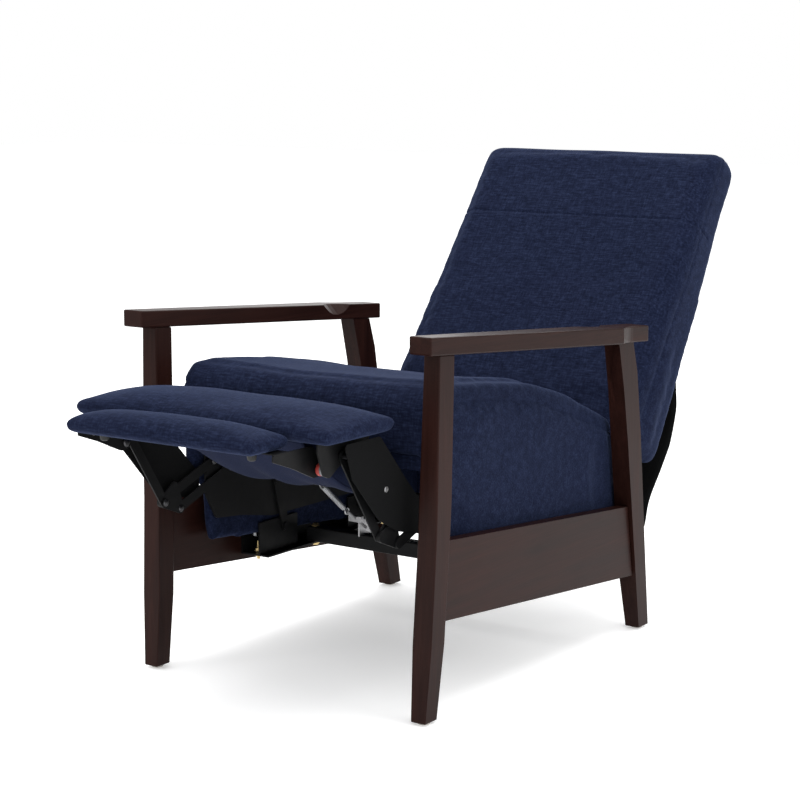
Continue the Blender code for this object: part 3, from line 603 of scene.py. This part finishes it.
def pad_form(name, low, high, crown, edge, columns=76, rows=34):
    """A closed plump pad between two corners: flat below, crowned above, rounded at its rim.

    edge is how thick it is just inside the rim, and crown how far the top rises over that.
    """
    half_x = (high[0] - low[0]) / 2
    half_y = (high[1] - low[1]) / 2
    middle = Vector(((low[0] + high[0]) / 2, (low[1] + high[1]) / 2, low[2]))
    work = bmesh.new()
    grids = []
    for face in (1, -1):
        grid = []
        for j, v in enumerate(spread(rows)):
            line = []
            for i, u in enumerate(spread(columns)):
                rim = i in (0, columns) or j in (0, rows)
                if rim and face < 0:
                    line.append(grids[0][j][i])
                    continue
                # The corners are pulled in, as a cover pulls them
                x = u * half_x * (1 - 0.012 * abs(v) ** 8)
                y = v * half_y * (1 - 0.045 * abs(u) ** 30)
                inset = min(half_x * (1 - abs(u)), half_y * (1 - abs(v)))
                if face > 0:
                    turn = math.sqrt(max(0.0, 1 - (1 - min(1.0, inset / 0.016)) ** 2))
                    bow = (1 - abs(u) ** 4.5) * (1 - abs(v) ** 2.6)
                    z = edge * 0.60 + edge * 0.40 * turn + crown * bow
                else:
                    turn = math.sqrt(max(0.0, 1 - (1 - min(1.0, inset / 0.020)) ** 2))
                    z = edge * 0.60 * (1 - turn)
                line.append(work.verts.new(middle + Vector((x, y, z))))
            grid.append(line)
        grids.append(grid)
    for grid in grids:
        for j in range(rows):
            for i in range(columns):
                work.faces.new((grid[j][i], grid[j][i + 1], grid[j + 1][i + 1], grid[j + 1][i]))
    bmesh.ops.recalc_face_normals(work, faces=work.faces)
    mesh = bpy.data.meshes.new(name)
    work.to_mesh(mesh)
    work.free()
    return link_object(name, mesh)


def make_pad(name, cushion, board, body, crown, edge, cap):
    """A footrest pad whose cover turns under its board."""
    low = Vector(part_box(cushion)[0])
    high = Vector(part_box(cushion)[1])
    low.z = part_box(board)[0][2] - 0.0008
    pad = pad_form(name, low, high, crown, edge)

    def free_to_move(spot):
        return smooth_step(spot.z, low.z + 0.002, low.z + 0.010)

    inflate(pad, 1.6, cap, lambda spot: 1.0 - free_to_move(spot))
    soften(pad)
    wrinkle(pad, (0.10, 0.06, 0.10), 0.0024, free_to_move, 5.0 + high.x)
    wrinkle(pad, (0.02, 0.05, 0.03), 0.0008,
            lambda s: free_to_move(s) * (1 - smooth_step(s.z, low.z + 0.012, low.z + 0.024)), 2.2)
    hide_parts(cushion, board)
    finish_piece(pad, body, "navy")


def make_dust_cover(name, low, high, level, body, staple_pitch=0.040):
    """Thin black cloth stapled under a board, its raw edge a little wavy."""
    work = bmesh.new()
    columns, rows = 60, 16
    inset = 0.024
    grid = []
    for j in range(rows + 1):
        line = []
        for i in range(columns + 1):
            u, v = i / columns, j / rows
            x = low[0] + inset + (high[0] - low[0] - 2 * inset) * u
            y = low[1] + inset + (high[1] - low[1] - 2 * inset) * v
            rim = i in (0, columns) or j in (0, rows)
            wave = 0.0012 * math.sin(u * 41.0 + v * 13.0) if rim else 0.0
            sag = 0.0012 * math.sin(math.pi * u) * math.sin(math.pi * v)
            line.append(work.verts.new((x, y + wave, level - 0.0008 - sag)))
        grid.append(line)
    for j in range(rows):
        for i in range(columns):
            work.faces.new((grid[j][i], grid[j + 1][i], grid[j + 1][i + 1], grid[j][i + 1]))
    mesh = bpy.data.meshes.new(name)
    work.to_mesh(mesh)
    work.free()
    cover = link_object(name, mesh)
    thicken(cover, 0.0007)
    finish_piece(cover, body, "black_cloth")
    spots = []
    length = high[0] - low[0] - 2 * inset - 0.020
    count = int(length / staple_pitch)
    for k in range(count + 1):
        x = low[0] + inset + 0.010 + length * k / count
        for y in (low[1] + inset + 0.005, high[1] - inset - 0.005):
            spots.append((x, y, level - 0.0015))
    make_staples(name + "_staples", spots, body)


def make_staples(name, spots, body):
    """Small wire staples joined into one piece."""
    work = bmesh.new()
    for spot in spots:
        made = bmesh.ops.create_cube(work, size=1.0)
        bmesh.ops.scale(work, vec=(0.010, 0.0012, 0.0009), verts=made["verts"])
        turn = Matrix.Rotation(random.uniform(-0.35, 0.35), 3, "Z")
        bmesh.ops.rotate(work, matrix=turn, verts=made["verts"])
        bmesh.ops.translate(work, vec=spot, verts=made["verts"])
    mesh = bpy.data.meshes.new(name)
    work.to_mesh(mesh)
    work.free()
    staples = link_object(name, mesh)
    finish_piece(staples, body, "bare")


# ---------------------------------------------------------------- cloths

def cloth_grid(name, path, half_width, columns):
    """A sheet that follows a side-view path, as a grid."""
    work = bmesh.new()
    rows = []
    for point in path:
        rows.append([work.verts.new(place(half_width * (2 * k / columns - 1), point))
                     for k in range(columns + 1)])
    for first, second in zip(rows, rows[1:]):
        for k in range(columns):
            work.faces.new((first[k], first[k + 1], second[k + 1], second[k]))
    mesh = bpy.data.meshes.new(name)
    work.to_mesh(mesh)
    work.free()
    return link_object(name, mesh)


def smooth_path(points, per_span=6):
    path = []
    last = len(points) - 1
    for i in range(last):
        p0 = Vector(points[max(i - 1, 0)])
        p1 = Vector(points[i])
        p2 = Vector(points[i + 1])
        p3 = Vector(points[min(i + 2, last)])
        for k in range(per_span):
            t = k / per_span
            path.append(tuple(0.5 * ((2 * p1) + (p2 - p0) * t
                                     + (2 * p0 - 5 * p1 + 4 * p2 - p3) * t ** 2
                                     + (3 * p1 - p0 - 3 * p2 + p3) * t ** 3)))
    path.append(tuple(points[last]))
    return path


def drape(piece, rows, columns, frames, gravity):
    """Let a cloth sag between its first and last rows."""
    group = piece.vertex_groups.new(name="held")
    ends = list(range(columns + 1)) + list(range((rows - 1) * (columns + 1), rows * (columns + 1)))
    group.add(ends, 1.0, "REPLACE")
    step = piece.modifiers.new("cloth", "CLOTH")
    cloth = step.settings
    cloth.quality = 5
    cloth.mass = 0.25
    cloth.tension_stiffness = 15
    cloth.compression_stiffness = 15
    cloth.bending_stiffness = 0.5
    cloth.vertex_group_mass = "held"
    cloth.effector_weights.gravity = gravity
    step.collision_settings.use_collision = False
    step.point_cache.frame_start = 1
    step.point_cache.frame_end = frames
    scene = bpy.context.scene
    for number in range(1, frames + 1):
        scene.frame_set(number)
    apply_modifiers(piece)
    scene.frame_set(1)
    piece.vertex_groups.clear()


def thicken(piece, thickness):
    step = piece.modifiers.new("thick", "SOLIDIFY")
    step.thickness = thickness
    step.offset = 0
    apply_modifiers(piece)
    shade_smooth(piece)


def make_filler_cloth():
    """The blue lining that hangs from the footrest board to the front of the seat."""
    path = smooth_path([(-0.1600, 0.4815), (-0.1300, 0.4560), (-0.0700, 0.4100),
                        (-0.0100, 0.3780), (0.0450, 0.3690), (0.0780, 0.3810), (0.1000, 0.3965)])
    columns = 48
    half = 0.190
    cloth = cloth_grid("filler_lining", path, half, columns)
    for vertex in cloth.data.vertices:
        y = vertex.co.y - FRONT
        loose = math.sin(math.pi * min(1.0, max(0.0, (y + 0.160) / 0.260)))
        # One side is caught up towards the pad, so the lower edge rises to the sitter's right
        vertex.co.z += 0.052 * loose * smooth_step(-vertex.co.x, 0.03, 0.19)
        ripple = math.sin(vertex.co.x * 60.0 + 1.3) + 0.6 * math.sin(vertex.co.x * 97.0)
        vertex.co.z += 0.0025 * ripple * loose
    drape(cloth, len(path), columns, 14, 0.35)
    thicken(cloth, 0.0014)
    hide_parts("filler_cloth")
    finish_piece(cloth, None, "lining")
    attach(cloth, "seat")
    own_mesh(cloth)


def make_rear_cloth():
    """The black dust cloth that closes the gap between the back and the seat's rear rail."""
    path = smooth_path([(0.9310, 0.4700), (0.9470, 0.4200), (0.9400, 0.3760), (0.9160, 0.3330),
                        (0.8780, 0.2850), (0.8400, 0.2450), (0.8220, 0.2050), (0.8060, 0.1720)])
    columns = 44
    half = 0.258
    cloth = cloth_grid("rear_dust_cloth", path, half, columns)
    for vertex in cloth.data.vertices:
        z = vertex.co.z
        loose = math.sin(math.pi * min(1.0, max(0.0, (z - 0.172) / 0.298)))
        vertex.co.y += 0.003 * loose * (math.sin(vertex.co.x * 34.0) + math.sin(z * 55.0))
    drape(cloth, len(path), columns, 12, 0.03)
    thicken(cloth, 0.0013)
    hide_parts("rear_cloth")
    finish_piece(cloth, None, "black_cloth")
    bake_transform(cloth)


# ---------------------------------------------------------------- hardware

def lathe(name, profile, centre, axis, segments=24):
    """A turned piece: (radius, height) points spun round an axis."""
    work = bmesh.new()
    rings = []
    for radius, height in profile:
        if radius == 0:
            rings.append([work.verts.new((0, 0, height))])
            continue
        rings.append([work.verts.new((radius * math.cos(2 * math.pi * k / segments),
                                      radius * math.sin(2 * math.pi * k / segments), height))
                      for k in range(segments)])
    for first, second in zip(rings, rings[1:]):
        for k in range(segments):
            j = (k + 1) % segments
            if len(first) == 1:
                work.faces.new((first[0], second[j], second[k]))
            elif len(second) == 1:
                work.faces.new((first[k], first[j], second[0]))
            else:
                work.faces.new((first[k], first[j], second[j], second[k]))
    bmesh.ops.recalc_face_normals(work, faces=work.faces)
    mesh = bpy.data.meshes.new(name)
    work.to_mesh(mesh)
    work.free()
    made = link_object(name, mesh)
    turn = Vector((0, 0, 1)).rotation_difference(Vector(axis)).to_matrix().to_4x4()
    made.data.transform(Matrix.Translation(centre) @ turn)
    shade_smooth(made)
    made.data.set_sharp_from_angle(angle=math.radians(35))
    return made


def rivet(name, centre, axis, radius, height, body, look):
    """A domed rivet head with a flat washer under it."""
    dome = [(radius * math.cos(a), height * 0.3 + height * 0.7 * math.sin(a))
            for a in (0.0, 0.35, 0.7, 1.05, 1.35)]
    profile = [(0, 0), (radius * 1.05, 0), (radius * 1.05, height * 0.2)] + dome + [(0, height)]
    return finish_piece(lathe(name, profile, centre, axis), body, look)


def bolt(name, centre, axis, radius, body, look, washer="zinc"):
    """A hex head on a washer, with a chamfered top."""
    plate = lathe(name + "_washer", [(0, 0), (radius * 1.45, 0), (radius * 1.45, radius * 0.18),
                                     (0, radius * 0.18)], centre, axis, 20)
    finish_piece(plate, body, washer)
    top = radius * 0.18
    profile = [(0, top), (radius, top), (radius * 1.02, top + radius * 0.55),
               (radius * 0.85, top + radius * 0.72), (0, top + radius * 0.74)]
    head = lathe(name, profile, centre, axis, 6)
    return finish_piece(head, body, look)


def tube(name, points, radius, body, look, resolution=3, cyclic=False):
    """A round wire or rod through frame points."""
    curve = bpy.data.curves.new(name, "CURVE")
    curve.dimensions = "3D"
    curve.bevel_depth = radius
    curve.bevel_resolution = resolution
    curve.use_fill_caps = True
    spline = curve.splines.new("POLY")
    spline.points.add(len(points) - 1)
    for point, spot in zip(spline.points, points):
        point.co = (*spot, 1)
    spline.use_cyclic_u = cyclic
    shape = link_object(name + "_curve", curve)
    graph = bpy.context.evaluated_depsgraph_get()
    mesh = bpy.data.meshes.new_from_object(shape.evaluated_get(graph))
    bpy.data.objects.remove(shape, do_unlink=True)
    made = link_object(name, mesh)
    shade_smooth(made)
    return finish_piece(made, body, look)


def coil_points(start, end, radius, turns, per_turn=14):
    """A helix between two points."""
    axis = (end - start).normalized()
    side = axis.cross(Vector((1, 0, 0))).normalized()
    other = axis.cross(side)
    count = turns * per_turn
    points = []
    for k in range(count + 1):
        angle = 2 * math.pi * k / per_turn
        base = start.lerp(end, k / count)
        points.append(base + (side * math.cos(angle) + other * math.sin(angle)) * radius)
    return points


def make_tension_spring(label, side):
    """A close-wound coil with a loop at the bar and a hook through the adjuster's eye."""
    x = side * SPRING_X
    high = place(x, BAR)
    low = place(x, SPRING_EYE)
    axis = (low - high).normalized()
    start = high + axis * 0.016
    end = low - axis * 0.014
    points = [high + axis * 0.0085 + Vector((side * 0.004, 0, 0))]
    points += coil_points(start, end, 0.0048, 26)
    points += [low - axis * 0.006, low + Vector((side * 0.004, 0, 0))]
    spring = tube("tension_coil_" + label, points, 0.0008, None, "zinc", 1)
    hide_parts("tension_spring_" + label)
    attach(spring, "seat")
    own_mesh(spring)
    ring = [low + (Vector((0, 1, 0)) * math.cos(a) + Vector((0, 0, 1)) * math.sin(a)) * 0.0055
            for a in [2 * math.pi * k / 20 for k in range(20)]]
    tube("adjuster_eye_" + label, ring, 0.0014, "root", "zinc", 2, True)


def make_base_bolts(label, side):
    """Bolts that hold the rails to the panels and the cross tubes to the rails."""
    panel_inner = 0.2745
    tube_bolt_x = side * 0.222
    for k, y in enumerate((0.300, 0.400, 0.520, 0.620)):
        bolt("panel_bolt_%s_%d" % (label, k), place(side * (panel_inner - 0.0002), (y, 0.190)),
             (-side, 0, 0), 0.0052, "root", "zinc")
    tube_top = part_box("front_cross_tube")[1][2]
    rail_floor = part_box("base_rail_left")[0][2]
    for end in ("front", "rear"):
        low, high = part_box(end + "_cross_tube")
        middle = (low[1] + high[1]) / 2
        for part, z, way in (("bolt", tube_top + 0.0001, 1), ("nut", rail_floor - 0.0001, -1)):
            bolt("tube_%s_%s_%s" % (part, end, label), Vector((tube_bolt_x, middle, z)),
                 (0, 0, way), 0.0058, "root", "brass", "brass")


def make_link_rivets(label, side):
    """Rivet heads, washers and the rubber bushing on the footrest linkage."""
    inward = (-side, 0, 0)
    outward = (side, 0, 0)

    def head(name, x, point, radius, body):
        rivet(name + "_" + label, place(side * x, point), inward, radius, 0.0022, body,
              "dark_rivet")

    # Each x is just inward of the CAD face that carries the head
    head("flip_rivet", 0.1940, FLIP_PIVOT, 0.0072, "footrest")
    head("lift_rivet", 0.2165, LIFT_END, 0.0068, "lift_links")
    head("knee_rivet", 0.2207, KNEE, 0.0062, "lower_links")
    head("knee_rivet_rear", 0.2269, (0.0364, 0.2913), 0.0058, "idle_links")
    head("pivot_rivet", 0.2284, LOWER_PIVOT, 0.0062, "lower_links")
    head("idle_rivet", 0.2284, IDLE_PIVOT, 0.0062, "idle_links")
    # A flat head, because the folded shield passes close beside the seat's wall
    rivet("shield_rivet_" + label, place(side * 0.2401, (-0.0090, 0.3880)), outward, 0.0048,
          0.0008, "lift_links", "bare")
    head("bracket_rivet_front", 0.2189, (-0.1450, 0.4640), 0.0050, "footrest")
    head("bracket_rivet_rear", 0.2189, (-0.0600, 0.4730), 0.0050, "footrest")
    head("flipper_rivet", 0.1964, (-0.2100, 0.4640), 0.0046, "flipper")
    ring = [(0.0046, 0.0), (0.0098, 0.0), (0.0104, 0.0015), (0.0104, 0.0050), (0.0098, 0.0065),
            (0.0046, 0.0065), (0.0046, 0.0)]
    for colour, x, look in (("red", 0.2020, "red_rubber"), ("grey", 0.2088, "grey_plastic")):
        bush = lathe("bushing_%s_%s" % (colour, label), ring, place(side * x, FLIP_PIVOT), outward)
        finish_piece(bush, "footrest", look)


def make_flipper_bumper(label, side):
    """The rubber stop under the flipper board."""
    profile = [(0, 0), (0.0075, 0), (0.0080, 0.004), (0.0066, 0.011), (0.0040, 0.0125),
               (0, 0.0128)]
    spot = place(side * 0.150, (-0.235, FLIP_BOARD_BOTTOM - 0.0030))
    finish_piece(lathe("bumper_" + label, profile, spot, (0, 0, -1)), "flipper", "black_rubber")


# ---------------------------------------------------------------- stage

def make_stage():
    bpy.ops.mesh.primitive_plane_add(size=30, location=(0, 0, -0.0002))
    floor = bpy.context.object
    floor.name = "floor"
    g = Graph("floor_white")
    g.set(Base_Color=(0.93, 0.93, 0.93, 1.0), Roughness=0.75, Specular_IOR_Level=0.2,
          Emission_Color=(1.0, 1.0, 1.0, 1.0), Emission_Strength=0.33)
    floor.data.materials.append(g.material)
    world = bpy.data.worlds.new("studio")
    bpy.context.scene.world = world
    world.use_nodes = True
    shade = world.node_tree.nodes["Background"]
    shade.inputs["Color"].default_value = (1.0, 1.0, 1.0, 1.0)
    shade.inputs["Strength"].default_value = 1.0

    def lamp(name, spot, aim, size, power):
        data = bpy.data.lights.new(name, "AREA")
        data.shape = "RECTANGLE"
        data.size = size[0]
        data.size_y = size[1]
        data.energy = power
        made = link_object(name, data)
        made.location = spot
        made.rotation_euler = (Vector(aim) - Vector(spot)).to_track_quat("-Z", "Y").to_euler()

    lamp("top", (0.0, 0.2, 3.2), (0.0, 0.0, 0.3), (4.0, 4.0), 105)
    lamp("front", (-1.6, -3.4, 2.4), (0.0, 0.0, 0.4), (2.4, 2.0), 30)
    lamp("right", (3.6, -0.2, 1.6), (0.0, 0.1, 0.4), (2.0, 2.2), 36)
    lamp("rear", (-1.6, 3.8, 1.7), (0.0, 0.0, 0.5), (3.2, 1.6), 22)


def make_camera():
    data = bpy.data.cameras.new("camera")
    data.lens = 96.04
    data.sensor_width = 36.0
    data.clip_end = 60
    camera = link_object("camera", data)
    camera.location = (2.14862, -2.71250 + FRONT, 1.07934)
    camera.rotation_euler = (math.radians(90 - 9.3993), 0, math.radians(34.8483))
    bpy.context.scene.camera = camera
    bpy.context.scene.view_settings.view_transform = "Standard"


def build():
    random.seed(11)
    dress_cad_nodes()
    make_camera()
    make_stage()
    make_seat()
    make_back()
    make_pad("footrest_pad", "footrest_cushion", "footrest_board", "footrest", 0.020, 0.025, 0.006)
    make_pad("flipper_pad", "flipper_cushion", "flipper_board", "flipper", 0.016, 0.024, 0.005)
    for node, body in (("footrest_board", "footrest"), ("flipper_board", "flipper")):
        low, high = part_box(node)
        make_dust_cover(body + "_dust_cover", low, high, low[2] - 0.0008, body)
    make_filler_cloth()
    make_rear_cloth()
    for label, side in SIDES:
        dress(NODES["side_shield_" + label], "black_cloth")
        make_tension_spring(label, side)
        make_base_bolts(label, side)
        make_link_rivets(label, side)
        make_flipper_bumper(label, side)
    dress(NODES["seat_rear_rail"], "navy")


build()
